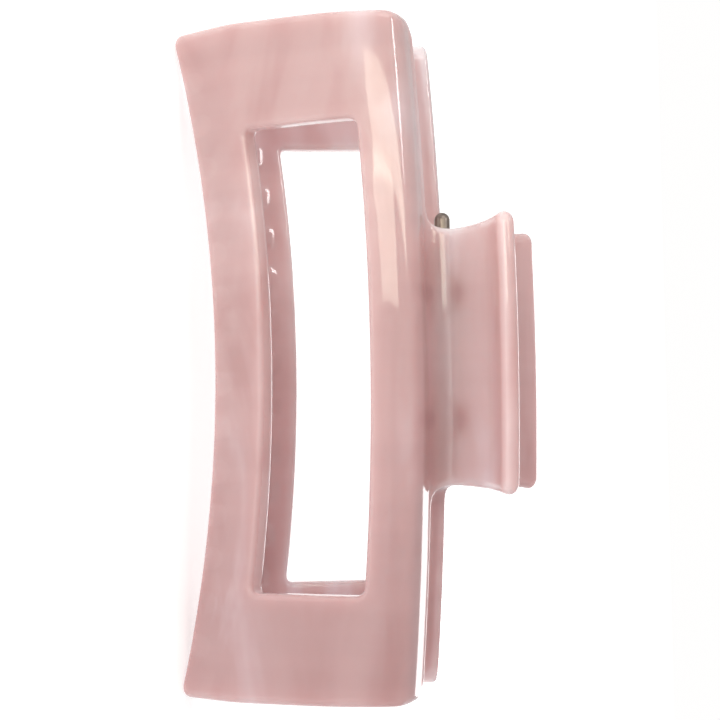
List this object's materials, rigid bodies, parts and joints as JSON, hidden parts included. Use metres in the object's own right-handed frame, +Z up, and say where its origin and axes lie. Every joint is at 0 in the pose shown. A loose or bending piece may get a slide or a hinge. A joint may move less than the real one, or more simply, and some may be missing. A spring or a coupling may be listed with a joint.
{
  "type": "hair claw clip",
  "caption": "Rectangular hair claw clip: two curved window-frame jaws with interleaving teeth and finger paddles, closed by a torsion spring on a hinge pin.",
  "frame": {"origin": "on the floor under the middle of the closed clip, which stands on the ends of its tooth edges", "axes": "+X along the hinge and the clip's length, +Y from the front jaw to the rear jaw, which is the way it opens, +Z up from the teeth to the finger paddles"},
  "size_m": [0.1068, 0.0342, 0.0563],
  "materials": {
    "pink_plastic": "glossy, slightly translucent",
    "pin_steel": "satin",
    "spring_steel": "satin"
  },
  "bodies": {
    "front": {"front_jaw": "pink_plastic", "hinge_pin": "pin_steel", "torsion_spring": "spring_steel"},
    "rear": {"rear_jaw": "pink_plastic"}
  },
  "joints": [
    {"name": "jaw_hinge", "type": "hinge", "parent": "front", "child": "rear", "pos_m": [0, 0, 0.0426], "axis": [1, 0, 0], "range_deg": [0, 78], "stiffness_Nm_per_rad": 0.12, "springref_deg": -40.11, "deforming": ["torsion_spring"]}
  ]
}
